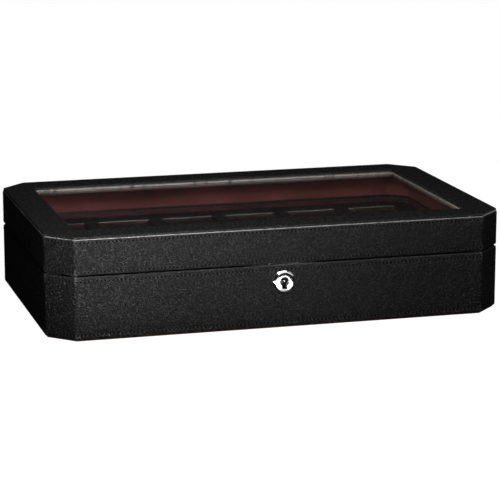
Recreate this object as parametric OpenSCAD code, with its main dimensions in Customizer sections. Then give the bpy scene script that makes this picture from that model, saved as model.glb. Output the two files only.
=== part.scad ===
// Glass-topped watch box for twelve watches, with cut corners, a locking lid and loose cushions.
// Millimetres. +Z is up, the front faces -Y, and the origin is the middle of the underside.

/* [Case] */
// Width of the closed box over the leather
case_w = 400; // [390:1:430]
// Depth of the closed box over the leather, front to back
case_d = 250; // [245:1:270]
// Height of the closed box, with its felt
case_h = 88; // [86:0.5:100]
// Length that the cut corner takes off each side
corner_cut = 22; // [18:0.5:26]
// Height of the base's rim above the surface the box stands on
rim_z = 54.5; // [54:0.5:58]
// Gap between the base's rim and the closed lid
seam_gap = 1.1; // [1:0.1:1.4]
// Radius of the soft upright edges
edge_r = 4; // [2:0.5:6]

/* [Walls] */
// Thickness of the leather
leather_t = 1; // [0.8:0.1:1.2]
// Thickness of the base's wall boards
board_t = 6; // [6:0.5:8]
// Thickness of the lined inner wall of the base, and of the lid's lining
liner_t = 2.5; // [2:0.1:3]
// Height of the inner wall above the rim
collar_rise = 2.3; // [1.5:0.1:2.6]
// Thickness of the bottom board
bottom_t = 4; // [3:0.5:5]
// Thickness of the felt under the box
felt_t = 1.2; // [0.8:0.1:1.5]

/* [Window] */
// Width of the lid frame's rails at the left and right
side_rail = 28; // [24:0.5:30]
// Width of the lid frame's rails at the front and back
front_rail = 30.5; // [26:0.5:32]
// Depth of the glass below the top of the frame
glass_drop = 4; // [3:0.5:5]
// Thickness of the glass
glass_t = 3; // [2:0.5:4]

/* [Tray] */
// Height of the tray's top above the surface the box stands on
tray_z = 51; // [48:0.5:52]
// Width of the margin between the case's side and the first pocket
side_margin = 26.5; // [24:0.5:28]
// Depth of the margin between the case's front and the first pocket
front_margin = 34.5; // [31:0.5:36]
// Width of the dividers between pockets
divider_w = 14; // [10:0.2:16]
// Height of the cushions
cushion_h = 42; // [36:0.5:46]
// Clearance beside each cushion in its pocket
cushion_gap = 2; // [1.5:0.1:4]

/* [Lock] */
// Diameter of the escutcheon
escutcheon_d = 19.4; // [18:0.2:22]
// Depth of the escutcheon's middle below the rim
lock_drop = 14.5; // [14:0.5:16]
// Radius of the round part of the keyhole
keyhole_r = 3.7; // [3:0.1:4.2]
// Width of the keyhole's slot
key_slot_w = 4.4; // [3:0.1:5]

/* [Hinges] */
// Distance of each hinge's middle from the middle of the box
hinge_x = 110; // [80:1:130]
// Length of each hinge
hinge_l = 36; // [30:1:50]
// Radius of the hinge pins
pin_r = 1; // [0.8:0.1:1.2]

/* [Hidden] */
$fn = 48;
columns = 6;
pocket_rows = 2;

// Colours
black_leather = "#1c1c1e";
wine_lining = "#5a1a22";
bare_board = "tan";
plated_steel = "gainsboro";
polished_steel = "silver";

// An overrun that keeps a cut from ending exactly on a face
over = 1;

// The front and back faces of the case
front_y = -case_d / 2;
back_y = case_d / 2;

// Leather turned over the boards' edges, and the metal plates let into it
flange_t = 0.8;
// Edge of the top leather, and the groove between it and the wall leather
top_edge_h = 2.3;
groove_h = 0.2;
// Clearance between the inner wall and the closed lid
collar_fit = 0.4;
binding_h = 2;
felt_inset = 2;

// Insets from the outer faces of the case
board_inset = leather_t + board_t;
lid_board_inset = board_inset - collar_fit;
liner_inset = board_inset + liner_t;

// Heights
bottom_top = felt_t + bottom_t;
base_board_top = rim_z - flange_t;
collar_top = rim_z + collar_rise;
lid_z = rim_z + seam_gap;
lid_board_bottom = lid_z + flange_t;
wall_leather_top = case_h - top_edge_h - groove_h;

// Window: the glass lies in a spacer between the frame and the retainer
window_w = case_w - 2 * side_rail;
window_d = case_d - 2 * front_rail;
window_r = 2.5;
glass_lap = 6;
glass_fit = 0.3;
glass_top = case_h - glass_drop;
glass_bottom = glass_top - glass_t;
retainer_t = 2.5;
retainer_bottom = glass_bottom - retainer_t;
retainer_setback = 2;

// Tray
tray_skin_t = 2;
pocket_floor_t = 1.5;
pocket_floor_top = bottom_top + pocket_floor_t;
middle_w = 14;
field_w = case_w - 2 * side_margin;
field_d = case_d - 2 * front_margin;
pocket_w = (field_w - (columns - 1) * divider_w) / columns;
pocket_l = (field_d - (pocket_rows - 1) * middle_w) / pocket_rows;

// Cushions
cushion_w = pocket_w - 2 * cushion_gap;
cushion_l = pocket_l - 2 * cushion_gap;
cushion_corner_r = 10;
cushion_lift = 0.3;

// Screws with countersunk heads
screw_r = 0.9;
screw_head_r = 1.7;
screw_l = 7;
screw_slot_w = 0.5;
screw_slot_depth = 0.4;

// Lock: a steel case let into the front wall, with a post that the key turns on
lock_z = rim_z - lock_drop;
lock_fit = 0.2;
case_half = 20;
case_bottom = lock_z - 9;
case_skin = 0.8;
case_front_y = front_y + leather_t;
case_back_y = front_y + board_inset + 1.2;
back_plate_y = case_back_y - case_skin;
key_z = lock_z + 0.5;
key_slot_drop = 3.2;
post_r = 1;
post_reach = 0.6;
escutcheon_rim = 0.7;
escutcheon_bevel = 1.5;

// The strips of metal let into the rims over the lock and under the lid
strip_half = 25;
strip_edge = 1.4;
lock_screw_x = 22.5;
lock_screw_y = front_y + 4;

// The link plate's two staples, which drop into the lock, and the bolt whose fingers pass through them
staple_x = 12;
staple_t = 1.2;
staple_y = [front_y + 2.6, front_y + 6];
staple_drop = 7.1;
staple_bottom = rim_z - staple_drop;
staple_window_fit = 0.3;
staple_fit = 0.4;
finger_l = 5.8;
finger_gap = 0.6;
finger_z = [staple_bottom + 1.4, staple_bottom + 3.6];
bolt_y = [front_y + 3.6, front_y + 5.2];
bolt_z = [staple_bottom - 2.9, staple_bottom - 0.4];
riser_w = 1.5;
talon_w = 5;
talon_h = 1.2;
bolt_tail = 2;

// Detent spring under the bolt
spring_t = 0.4;
spring_foot = 1;
spring_z = bolt_z[0] - 1.7;
spring_tip_x = -7;
spring_gap = 0.15;

// Hinges: the pins stand clear behind the box, at the height of the seam
knuckle_r = 2;
pin_fit = 0.05;
pin_head_r = pin_r + 0.5;
pin_head_h = 0.5;
pin_reach = 0.6;
axis_y = back_y + knuckle_r + 0.3;
axis_z = rim_z + seam_gap / 2;
knuckle_l = hinge_l * 0.3;
knuckle_gap = 0.2;
leaf_clear = 0.25;
leaf_fit = 0.1;
leaf_weld = 1;
hinge_screw_y = back_y - 4;

// ---- Shapes that repeat ----

// The eight corners of the case's outline moved inwards by t, from the right side's front corner
function corners(t) =
    let (x = case_w / 2 - t, y = case_d / 2 - t, c = corner_cut - t * (2 - sqrt(2)))
    [[x, c - y], [x, y - c], [x - c, y], [c - x, y], [-x, y - c], [-x, c - y], [c - x, -y], [x - c, -y]];

function unit(v) = v / norm(v);

// The radius that the case's upright edges have at inset t
function inset_r(t) = max(edge_r - t, 0);

// Outline of the case moved inwards by t, with its corners rounded
module outline(t) {
    v = corners(t);
    r = inset_r(t);
    tangent = r * tan(22.5);
    if (r == 0) {
        polygon(v);
    } else {
        polygon([for (i = [0:7], side = [7, 1]) v[i] + tangent * unit(v[(i + side) % 8] - v[i])]);
        for (p = corners(t + r)) translate(p) circle(r);
    }
}

module slab(z0, z1) {
    translate([0, 0, z0]) linear_extrude(z1 - z0) children();
}

// A ring that follows the outline, from one inset to another
module ring(z0, z1, outer, inner) {
    slab(z0, z1) difference() {
        outline(outer);
        outline(inner);
    }
}

// One mitred wall board. Side 0 is the right, 2 the back, 4 the left and 6 the front. The odd sides are the
// corners.
module mitred_board(side, z0, z1, inner) {
    o = corners(leather_t);
    i = corners(inner);
    next = (side + 1) % 8;
    slab(z0, z1) intersection() {
        polygon([o[side], o[next], i[next], i[side]]);
        outline(leather_t);
    }
}

module rounded_rect(w, d, r) {
    square([w - 2 * r, d], center = true);
    square([w, d - 2 * r], center = true);
    for (x = [-1, 1], y = [-1, 1]) translate([x * (w / 2 - r), y * (d / 2 - r)]) circle(r);
}

// A box between two opposite corners
module span(low, high) {
    translate(low) cube(high - low);
}

// A countersunk hole or screw that points down from z = 0
module countersink() {
    translate([0, 0, -screw_l]) cylinder(r = screw_r, h = screw_l);
    translate([0, 0, -flange_t]) cylinder(r1 = screw_r, r2 = screw_head_r, h = flange_t);
}

module screw() {
    difference() {
        countersink();
        span([-screw_head_r, -screw_slot_w / 2, -screw_slot_depth], [screw_head_r, screw_slot_w / 2, over]);
    }
}

// ---- Base ----

module base_board(side) {
    mitred_board(side, bottom_top, base_board_top, board_inset);
}

module base_front_board() {
    color(bare_board) difference() {
        base_board(6);
        lock_recess();
        lock_screw_places() countersink();
    }
}

module base_back_board() {
    color(bare_board) difference() {
        base_board(2);
        for (s = [-1, 1]) hinge_screw_places(s, rim_z) countersink();
    }
}

module base_left_board() {
    color(bare_board) base_board(4);
}

module base_right_board() {
    color(bare_board) base_board(0);
}

module base_corner_boards() {
    color(bare_board) for (side = [1:2:7]) base_board(side);
}

module base_leather_wrap() {
    color(black_leather) difference() {
        slab(felt_t, rim_z) outline(0);
        slab(felt_t - over, base_board_top) outline(leather_t);
        slab(felt_t, rim_z + over) outline(board_inset);
        for (s = [-1, 1]) leaf_seat(s, base_board_top, rim_z + over);
        strip_seat(base_board_top, rim_z + over);
        keyhole(front_y - over, front_y + leather_t + over);
    }
}

module bottom_board() {
    color(bare_board) slab(felt_t, bottom_top) outline(leather_t);
}

module bottom_felt() {
    color(wine_lining) slab(0, felt_t) outline(felt_inset);
}

module inner_wall() {
    color(wine_lining) difference() {
        ring(bottom_top, collar_top - binding_h, board_inset, liner_inset);
        lock_recess();
    }
}

module inner_wall_binding() {
    color(black_leather) ring(collar_top - binding_h, collar_top, board_inset, liner_inset);
}

// ---- Tray ----

function pocket_x(column) = (column - (columns - 1) / 2) * (pocket_w + divider_w);
function pocket_y(row) = (row - (pocket_rows - 1) / 2) * (pocket_l + middle_w);

module tray_top() {
    color(black_leather) slab(tray_z - tray_skin_t, tray_z) difference() {
        outline(liner_inset);
        for (c = [0:columns - 1], r = [0:pocket_rows - 1])
            translate([pocket_x(c), pocket_y(r)]) square([pocket_w, pocket_l], center = true);
    }
}

// The part of the tray's body between two opposite corners of its plan
module tray_bar(low, high) {
    color(wine_lining) slab(pocket_floor_top, tray_z - tray_skin_t) intersection() {
        outline(liner_inset);
        translate(low) square(high - low);
    }
}

module tray_front_rail() {
    tray_bar([-case_w / 2, front_y], [case_w / 2, -field_d / 2]);
}

module tray_middle_rail() {
    tray_bar([-field_w / 2, -middle_w / 2], [field_w / 2, middle_w / 2]);
}

module tray_back_rail() {
    tray_bar([-case_w / 2, field_d / 2], [case_w / 2, back_y]);
}

module tray_left_rail() {
    tray_bar([-case_w / 2, -field_d / 2], [-field_w / 2, field_d / 2]);
}

module tray_right_rail() {
    tray_bar([field_w / 2, -field_d / 2], [case_w / 2, field_d / 2]);
}

module tray_dividers() {
    for (c = [0:columns - 2], r = [0:pocket_rows - 1]) {
        x = pocket_x(c) + pocket_w / 2;
        y = pocket_y(r) - pocket_l / 2;
        tray_bar([x, y], [x + divider_w, y + pocket_l]);
    }
}

module pocket_floor() {
    color(wine_lining) slab(bottom_top, pocket_floor_top) outline(liner_inset);
}

// ---- Cushions ----

// A block whose long side view has round corners
module cushion(row, column) {
    color(black_leather) translate([pocket_x(column), pocket_y(row), pocket_floor_top + cushion_lift])
        rotate([90, 0, 90]) linear_extrude(cushion_w, center = true)
            translate([0, cushion_h / 2]) rounded_rect(cushion_l, cushion_h, cushion_corner_r);
}

// ---- Lock ----

// The keyhole's outline, seen from the front: a round top with a straight slot below it
module keyhole_shape() {
    circle(keyhole_r);
    translate([-key_slot_w / 2, -keyhole_r - key_slot_drop]) square([key_slot_w, keyhole_r + key_slot_drop]);
}

module keyhole(y0, y1) {
    translate([0, y1, key_z]) rotate([90, 0, 0]) linear_extrude(y1 - y0) keyhole_shape();
}

module lock_recess() {
    span([-case_half - lock_fit, front_y, case_bottom - lock_fit],
        [case_half + lock_fit, case_back_y + lock_fit, base_board_top + over]);
}

module strip_seat(z0, z1) {
    span([-strip_half, front_y + strip_edge, z0], [strip_half, front_y + board_inset + over, z1]);
}

module lock_screw_places(z = rim_z) {
    for (s = [-1, 1]) translate([s * lock_screw_x, lock_screw_y, z]) children();
}

module lock_escutcheon() {
    r = escutcheon_d / 2;
    color(polished_steel) difference() {
        translate([0, front_y, lock_z]) rotate([90, 0, 0]) {
            cylinder(r = r, h = escutcheon_rim);
            translate([0, 0, escutcheon_rim])
                cylinder(r1 = r, r2 = r - escutcheon_bevel, h = escutcheon_bevel);
        }
        keyhole(front_y - escutcheon_rim - escutcheon_bevel - over, front_y + over);
    }
}

module lock_case() {
    color(plated_steel) difference() {
        span([-case_half, case_front_y, case_bottom], [case_half, back_plate_y, base_board_top]);
        span([case_skin - case_half, case_front_y + case_skin, case_bottom + case_skin],
            [case_half - case_skin, back_plate_y + over, base_board_top + over]);
        keyhole(case_front_y - over, case_front_y + case_skin + over);
    }
}

module lock_back_plate() {
    color(plated_steel)
        span([-case_half, back_plate_y, case_bottom], [case_half, case_back_y, base_board_top]);
}

module lock_face_plate() {
    color(plated_steel) difference() {
        span([-strip_half, front_y + strip_edge, base_board_top], [strip_half, front_y + board_inset, rim_z]);
        lock_screw_places() countersink();
        for (s = [-1, 1])
            span([s * staple_x - staple_t / 2 - staple_fit, staple_y[0] - staple_fit, base_board_top - over],
                [s * staple_x + staple_t / 2 + staple_fit, staple_y[1] + staple_fit, rim_z + over]);
    }
}

module lock_post() {
    post_l = back_plate_y - front_y + post_reach;
    color(polished_steel) translate([0, back_plate_y, key_z]) rotate([90, 0, 0]) {
        cylinder(r = post_r, h = post_l);
        translate([0, 0, post_l]) sphere(post_r);
    }
}

module lock_spring() {
    wall_x = case_skin - case_half;
    color(polished_steel) {
        span([wall_x, bolt_y[0], spring_z], [wall_x + spring_foot, bolt_y[1], spring_z + spring_foot]);
        span([wall_x, bolt_y[0], spring_z], [spring_tip_x, bolt_y[1], spring_z + spring_t]);
        span([spring_tip_x - spring_foot, bolt_y[0], spring_z],
            [spring_tip_x, bolt_y[1], bolt_z[0] - spring_gap]);
    }
}

module lock_screws() {
    color(polished_steel) lock_screw_places() screw();
}

// One of the bolt's two fingers, on its riser
module bolt_finger(x) {
    span([x, bolt_y[0], bolt_z[0]], [x + riser_w, bolt_y[1], finger_z[1]]);
    span([x, bolt_y[0], finger_z[0]], [x + finger_l, bolt_y[1], finger_z[1]]);
}

module lock_bolt() {
    finger_back = staple_t / 2 + finger_gap + finger_l;
    color("goldenrod") difference() {
        union() {
            for (s = [-1, 1]) bolt_finger(s * staple_x - finger_back);
            span([-staple_x - finger_back, bolt_y[0], bolt_z[0]],
                [staple_x - finger_back + riser_w + bolt_tail, bolt_y[1], bolt_z[1]]);
        }
        span([-talon_w / 2, front_y, bolt_z[0] - over], [talon_w / 2, 0, bolt_z[0] + talon_h]);
    }
}

module link_plate() {
    color(plated_steel) difference() {
        union() {
            span([-strip_half, front_y + strip_edge, lid_z],
                [strip_half, front_y + lid_board_inset, lid_board_bottom]);
            for (s = [-1, 1])
                span([s * staple_x - staple_t / 2, staple_y[0], staple_bottom],
                    [s * staple_x + staple_t / 2, staple_y[1], lid_z + flange_t / 2]);
        }
        span([-case_half, bolt_y[0] - staple_window_fit, finger_z[0] - staple_window_fit],
            [case_half, bolt_y[1] + staple_window_fit, finger_z[1] + staple_window_fit]);
        lock_screw_places(lid_z) mirror([0, 0, 1]) countersink();
    }
}

module link_plate_screws() {
    color(polished_steel) lock_screw_places(lid_z) mirror([0, 0, 1]) screw();
}

// ---- Hinges ----

// The room for a leaf in the leather's turned edge; s is -1 for the left hinge and 1 for the right
module leaf_seat(s, z0, z1) {
    half = hinge_l / 2 + leaf_fit;
    span([s * hinge_x - half, back_y - board_inset - over, z0], [s * hinge_x + half, back_y + over, z1]);
}

module hinge_screw_places(s, z) {
    for (i = [-1, 0, 1]) translate([s * hinge_x + i * hinge_l / 3, hinge_screw_y, z]) children();
}

// A length of something round on the hinge's axis, from x0 along +X
module on_axis(x0) {
    translate([x0, axis_y, axis_z]) rotate([0, 90, 0]) children();
}

// A leaf from height z0 to z1 and from y0 to the barrel, with a knuckle over each stretch of its length
module leaf(s, z0, z1, y0, knuckles) {
    x = s * hinge_x;
    difference() {
        union() {
            span([x - hinge_l / 2, y0, z0], [x + hinge_l / 2, axis_y - knuckle_r - leaf_clear, z1]);
            for (k = knuckles) {
                span([x + k[0], axis_y - knuckle_r - leaf_weld, z0], [x + k[1], axis_y - pin_r, z1]);
                on_axis(x + k[0]) cylinder(r = knuckle_r, h = k[1] - k[0]);
            }
        }
        on_axis(x - hinge_l) cylinder(r = pin_r + pin_fit, h = 2 * hinge_l);
    }
}

module hinge_base_leaf(s) {
    h = hinge_l / 2;
    color(polished_steel) difference() {
        leaf(s, base_board_top, rim_z, back_y - board_inset, [[-h, knuckle_l - h], [h - knuckle_l, h]]);
        hinge_screw_places(s, rim_z) countersink();
    }
}

module hinge_lid_leaf(s) {
    m = hinge_l / 2 - knuckle_l - knuckle_gap;
    color(polished_steel) difference() {
        leaf(s, lid_z, lid_board_bottom, back_y - lid_board_inset, [[-m, m]]);
        hinge_screw_places(s, lid_z) mirror([0, 0, 1]) countersink();
    }
}

module hinge_pin(s) {
    pin_l = hinge_l + 2 * pin_reach;
    color(polished_steel) on_axis(s * hinge_x - pin_l / 2) {
        cylinder(r = pin_r, h = pin_l);
        for (z = [0, pin_l - pin_head_h]) translate([0, 0, z]) cylinder(r = pin_head_r, h = pin_head_h);
    }
}

module hinge_base_screws() {
    color(polished_steel) for (s = [-1, 1]) hinge_screw_places(s, rim_z) screw();
}

module hinge_lid_screws() {
    color(polished_steel) for (s = [-1, 1]) hinge_screw_places(s, lid_z) mirror([0, 0, 1]) screw();
}

// ---- Lid ----

module lid_board(side) {
    mitred_board(side, lid_board_bottom, glass_top, lid_board_inset);
}

module lid_front_board() {
    color(bare_board) difference() {
        lid_board(6);
        lock_screw_places(lid_z) mirror([0, 0, 1]) countersink();
    }
}

module lid_back_board() {
    color(bare_board) difference() {
        lid_board(2);
        for (s = [-1, 1]) hinge_screw_places(s, lid_z) mirror([0, 0, 1]) countersink();
    }
}

module lid_left_board() {
    color(bare_board) lid_board(4);
}

module lid_right_board() {
    color(bare_board) lid_board(0);
}

module lid_corner_boards() {
    color(bare_board) for (side = [1:2:7]) lid_board(side);
}

module lid_leather_wrap() {
    color(black_leather) difference() {
        slab(lid_z, wall_leather_top) outline(0);
        slab(lid_board_bottom, case_h) outline(leather_t);
        slab(lid_z - over, case_h) outline(lid_board_inset);
        for (s = [-1, 1]) leaf_seat(s, lid_z - over, lid_board_bottom);
        strip_seat(lid_z - over, lid_board_bottom);
    }
}

module lid_lining() {
    color(wine_lining) ring(collar_top + collar_fit, retainer_bottom, lid_board_inset, liner_inset);
}

// The window's outline, grown by g on every side
module window_shape(g) {
    rounded_rect(window_w + 2 * g, window_d + 2 * g, window_r + g);
}

module top_frame_board() {
    color(bare_board) slab(glass_top, case_h - flange_t) difference() {
        outline(leather_t);
        window_shape(leather_t);
    }
}

module top_frame_leather() {
    color(black_leather) difference() {
        union() {
            slab(case_h - top_edge_h, case_h) outline(0);
            slab(glass_top, case_h - flange_t) window_shape(leather_t);
        }
        slab(glass_top - over, case_h + over) window_shape(0);
        slab(glass_top - over, case_h - flange_t) difference() {
            outline(leather_t);
            window_shape(leather_t);
        }
    }
}

// The window's rectangle with square corners, grown by g on every side
module pane_shape(g) {
    square([window_w + 2 * g, window_d + 2 * g], center = true);
}

module glass_pane() {
    color("lightblue", 0.3) slab(glass_bottom, glass_top) pane_shape(glass_lap);
}

module glass_spacer() {
    color(black_leather) slab(glass_bottom, glass_top) difference() {
        outline(lid_board_inset);
        pane_shape(glass_lap + glass_fit);
    }
}

module glass_retainer() {
    color(wine_lining) slab(retainer_bottom, glass_bottom) difference() {
        outline(lid_board_inset);
        pane_shape(retainer_setback);
    }
}

base_front_board();
base_back_board();
base_left_board();
base_right_board();
base_corner_boards();
base_leather_wrap();
bottom_board();
bottom_felt();
inner_wall();
inner_wall_binding();
tray_top();
tray_front_rail();
tray_middle_rail();
tray_back_rail();
tray_left_rail();
tray_right_rail();
tray_dividers();
pocket_floor();
cushion(0, 0);  // cushion_front_1
cushion(0, 1);  // cushion_front_2
cushion(0, 2);  // cushion_front_3
cushion(0, 3);  // cushion_front_4
cushion(0, 4);  // cushion_front_5
cushion(0, 5);  // cushion_front_6
cushion(1, 0);  // cushion_back_1
cushion(1, 1);  // cushion_back_2
cushion(1, 2);  // cushion_back_3
cushion(1, 3);  // cushion_back_4
cushion(1, 4);  // cushion_back_5
cushion(1, 5);  // cushion_back_6
lock_escutcheon();
lock_case();
lock_back_plate();
lock_face_plate();
lock_post();
lock_spring();
lock_screws();
lock_bolt();
hinge_base_leaf(-1);  // hinge_base_leaf_left
hinge_base_leaf(1);  // hinge_base_leaf_right
hinge_pin(-1);  // hinge_pin_left
hinge_pin(1);  // hinge_pin_right
hinge_base_screws();
lid_front_board();
lid_back_board();
lid_left_board();
lid_right_board();
lid_corner_boards();
lid_leather_wrap();
lid_lining();
top_frame_board();
top_frame_leather();
glass_pane();
glass_spacer();
glass_retainer();
link_plate();
link_plate_screws();
hinge_lid_leaf(-1);  // hinge_lid_leaf_left
hinge_lid_leaf(1);  // hinge_lid_leaf_right
hinge_lid_screws();
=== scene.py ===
"""Watch box: soft-edged leather, stitching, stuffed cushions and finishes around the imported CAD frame."""

import math
import random

import bmesh
import bpy
from mathutils import Matrix, Vector, noise


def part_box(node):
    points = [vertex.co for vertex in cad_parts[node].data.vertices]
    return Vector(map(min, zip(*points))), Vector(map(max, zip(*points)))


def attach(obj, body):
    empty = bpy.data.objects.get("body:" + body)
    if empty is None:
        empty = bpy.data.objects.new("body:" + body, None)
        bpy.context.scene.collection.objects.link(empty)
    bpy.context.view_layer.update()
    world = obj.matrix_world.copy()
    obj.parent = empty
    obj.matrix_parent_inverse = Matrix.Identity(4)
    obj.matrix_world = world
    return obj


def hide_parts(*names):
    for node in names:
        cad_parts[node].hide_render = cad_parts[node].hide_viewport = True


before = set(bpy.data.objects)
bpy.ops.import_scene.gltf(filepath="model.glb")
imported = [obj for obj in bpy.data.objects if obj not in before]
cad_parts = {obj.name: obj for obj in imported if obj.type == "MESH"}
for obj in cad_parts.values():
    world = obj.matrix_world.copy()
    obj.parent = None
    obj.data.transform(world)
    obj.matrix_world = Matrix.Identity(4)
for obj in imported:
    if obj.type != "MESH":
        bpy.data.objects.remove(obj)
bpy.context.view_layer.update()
MM = 0.001

# ---- Sizes, in metres: the CAD's own where the frame gives them ----

BASE_LOW, BASE_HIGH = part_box("base_leather_wrap")
LID_LOW, LID_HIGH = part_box("lid_leather_wrap")
TOP_LOW, TOP_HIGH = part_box("top_frame_leather")
BINDING_LOW, BINDING_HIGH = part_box("inner_wall_binding")
GLASS_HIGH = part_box("glass_pane")[1]
HALF_W = BASE_HIGH.x
HALF_D = BASE_HIGH.y
CORNER_CUT = 22 * MM
EDGE_R = 4 * MM
LEATHER_T = 1 * MM
FLANGE_T = 0.8 * MM
GLASS_LAP = 6 * MM
WINDOW_W = GLASS_HIGH.x - GLASS_LAP
WINDOW_D = GLASS_HIGH.y - GLASS_LAP
WINDOW_R = 2.5 * MM

# How far in from the outline the base's wall, the lid's wall and the base's inner wall end
BASE_WALL = HALF_W - BINDING_HIGH.x
LID_WALL = HALF_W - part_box("lid_lining")[1].x
LINER = HALF_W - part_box("tray_top")[1].x

# ---- Loops: every ring of a leather piece has the same number of points, so rings skin into one mesh ----

ARC_STEPS = 5
LONG_STEPS = 40
SHORT_STEPS = 26
CHAMFER_STEPS = 4
EASE = 1 * MM
SMALLEST_R = 0.05 * MM
CORNER_TURN = math.radians(45)
QUARTER_TURN = math.radians(90)


def side_points(start, end, steps):
    """The points between start and end, with one close to each so that the flats stay flat."""
    span = end - start
    length = span.length
    ease = min(EASE, length / 4)
    middle = [ease + (length - 2 * ease) * i / (steps - 2) for i in range(steps - 1)]
    return [start + span * (d / length) for d in middle]


def octagon_loop(inset):
    """[(point, outward normal)] round the case's outline moved inwards by inset.

    It starts at the right side's front corner.
    """
    w, d = HALF_W - inset, HALF_D - inset
    cut = CORNER_CUT - inset * (2 - math.sqrt(2))
    corners = [Vector(c) for c in (
        (w, cut - d), (w, d - cut), (w - cut, d), (cut - w, d),
        (-w, d - cut), (-w, cut - d), (cut - w, -d), (w - cut, -d))]
    r = max(EDGE_R - inset, SMALLEST_R)
    tangent = r * math.tan(CORNER_TURN / 2)
    arcs = []
    for i, corner in enumerate(corners):
        into = (corner - corners[i - 1]).normalized()
        start = corner - into * tangent
        normal = Vector((into.y, -into.x))
        centre = start - normal * r
        first = math.atan2(normal.y, normal.x)
        arc = []
        for k in range(ARC_STEPS + 1):
            a = first + CORNER_TURN * k / ARC_STEPS
            n = Vector((math.cos(a), math.sin(a)))
            arc.append((centre + n * r, n))
        arcs.append(arc)
    loop = []
    for i, arc in enumerate(arcs):
        loop += arc
        end, n = arc[-1]
        steps = (SHORT_STEPS, CHAMFER_STEPS, LONG_STEPS, CHAMFER_STEPS)[i % 4]
        loop += [(p, n) for p in side_points(end, arcs[(i + 1) % 8][0][0], steps)]
    return loop


CORNER_POINTS = 2 * (ARC_STEPS + 1) + CHAMFER_STEPS - 1


def window_loop(grow):
    """[(point, outward normal)] round the window's outline grown by grow, in step with octagon_loop."""
    w, d, r = WINDOW_W + grow, WINDOW_D + grow, WINDOW_R + grow
    arcs = []
    for i, (sx, sy) in enumerate(((1, -1), (1, 1), (-1, 1), (-1, -1))):
        centre = Vector((sx * (w - r), sy * (d - r)))
        arc = []
        for k in range(CORNER_POINTS):
            a = QUARTER_TURN * (i - 1 + k / (CORNER_POINTS - 1))
            n = Vector((math.cos(a), math.sin(a)))
            arc.append((centre + n * r, n))
        arcs.append(arc)
    split = CORNER_POINTS - ARC_STEPS - 1
    loop = arcs[0][split:]
    for i, steps in enumerate((SHORT_STEPS, LONG_STEPS, SHORT_STEPS, LONG_STEPS)):
        end, n = arcs[i][-1]
        following = arcs[(i + 1) % 4]
        loop += [(p, n) for p in side_points(end, following[0][0], steps)]
        loop += following if i < 3 else following[:split]
    return loop


WANDER_SIZE = 55 * MM
WANDER_DETAIL = 0.4
WANDER_DETAIL_SIZE = WANDER_SIZE * 0.35


def dip(p, z, slack):
    """How far slack leather lies inside its outline, at the point p of the outline and the height z."""
    place = Vector((p.x, p.y, z))
    wander = noise.noise(place / WANDER_SIZE) + WANDER_DETAIL * noise.noise(place / WANDER_DETAIL_SIZE)
    return slack * (0.5 + 0.5 * wander)


def smooth_object(name, verts, faces, angle=None):
    """A new object with smooth shading and outward normals, and sharp edges past angle degrees if given."""
    mesh = bpy.data.meshes.new(name)
    mesh.from_pydata([tuple(v) for v in verts], [], faces)
    bm = bmesh.new()
    bm.from_mesh(mesh)
    bmesh.ops.recalc_face_normals(bm, faces=bm.faces)
    bm.to_mesh(mesh)
    bm.free()
    mesh.shade_smooth()
    if angle:
        mesh.set_sharp_from_angle(angle=math.radians(angle))
    obj = bpy.data.objects.new(name, mesh)
    bpy.context.scene.collection.objects.link(obj)
    return obj


def ring_faces(rings, count, first=0):
    """Quads through a number of rings of count points each, the last ring joined to the first."""
    faces = []
    for k in range(rings):
        here, there = first + k * count, first + (k + 1) % rings * count
        for i in range(count):
            j = (i + 1) % count
            faces.append((here + i, here + j, there + j, there + i))
    return faces


def skin(name, rings, slack=0.0):
    """One closed solid through rings of (loop, z), the last joined to the first.

    slack is how far its surface wanders inwards.
    """
    verts = []
    for loop, z in rings:
        for p, n in loop:
            depth = dip(p, z, slack)
            verts.append(Vector((p.x - n.x * depth, p.y - n.y * depth, z)))
    return smooth_object(name, verts, ring_faces(len(rings), len(rings[0][0])))


QUARTER_STEPS = 5


def quarter(start, end, corner):
    """Points of (inset, z) along a quarter round from start to end whose square corner is at corner."""
    centre = (start[0] + end[0] - corner[0], start[1] + end[1] - corner[1])
    points = []
    for k in range(QUARTER_STEPS + 1):
        a = QUARTER_TURN * k / QUARTER_STEPS
        points.append(tuple(
            centre[i] + (start[i] - centre[i]) * math.cos(a) + (end[i] - centre[i]) * math.sin(a)
            for i in (0, 1)))
    return points


# ---- Leather over the walls: profiles of (inset, z) that go round the outline ----

RIM_R = 1.7 * MM
FOOT_R = 1.3 * MM
BAND_R = 1.1 * MM
GROOVE_DEPTH = 0.28 * MM
GROOVE_HALF = 0.55 * MM
# (share of GROOVE_HALF from the groove's middle, share of GROOVE_DEPTH), downwards
GROOVE_PROFILE = ((1, 0), (0.55, 0.25), (0.25, 0.8), (0, 1), (-0.25, 0.8), (-0.55, 0.25), (-1, 0))
WALL_PITCH = 6 * MM
WALL_BACK = LEATHER_T + 0.3 * MM
# How far in along a turned-in edge a ring keeps it flat
TURN_RING = 0.6
SEAM_BELOW_RIM = 4.0 * MM
SEAM_ABOVE_FOOT = 3.9 * MM
SEAM_ABOVE_SEAT = 2.8 * MM
SEAM_BELOW_TOP = 4.8 * MM
WALL_SLACK = 0.16 * MM

BASE_SEAMS = (BASE_HIGH.z - SEAM_BELOW_RIM, BASE_LOW.z + SEAM_ABOVE_FOOT)
LID_SEAMS = (TOP_HIGH.z - SEAM_BELOW_TOP, LID_LOW.z + SEAM_ABOVE_SEAT)


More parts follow.
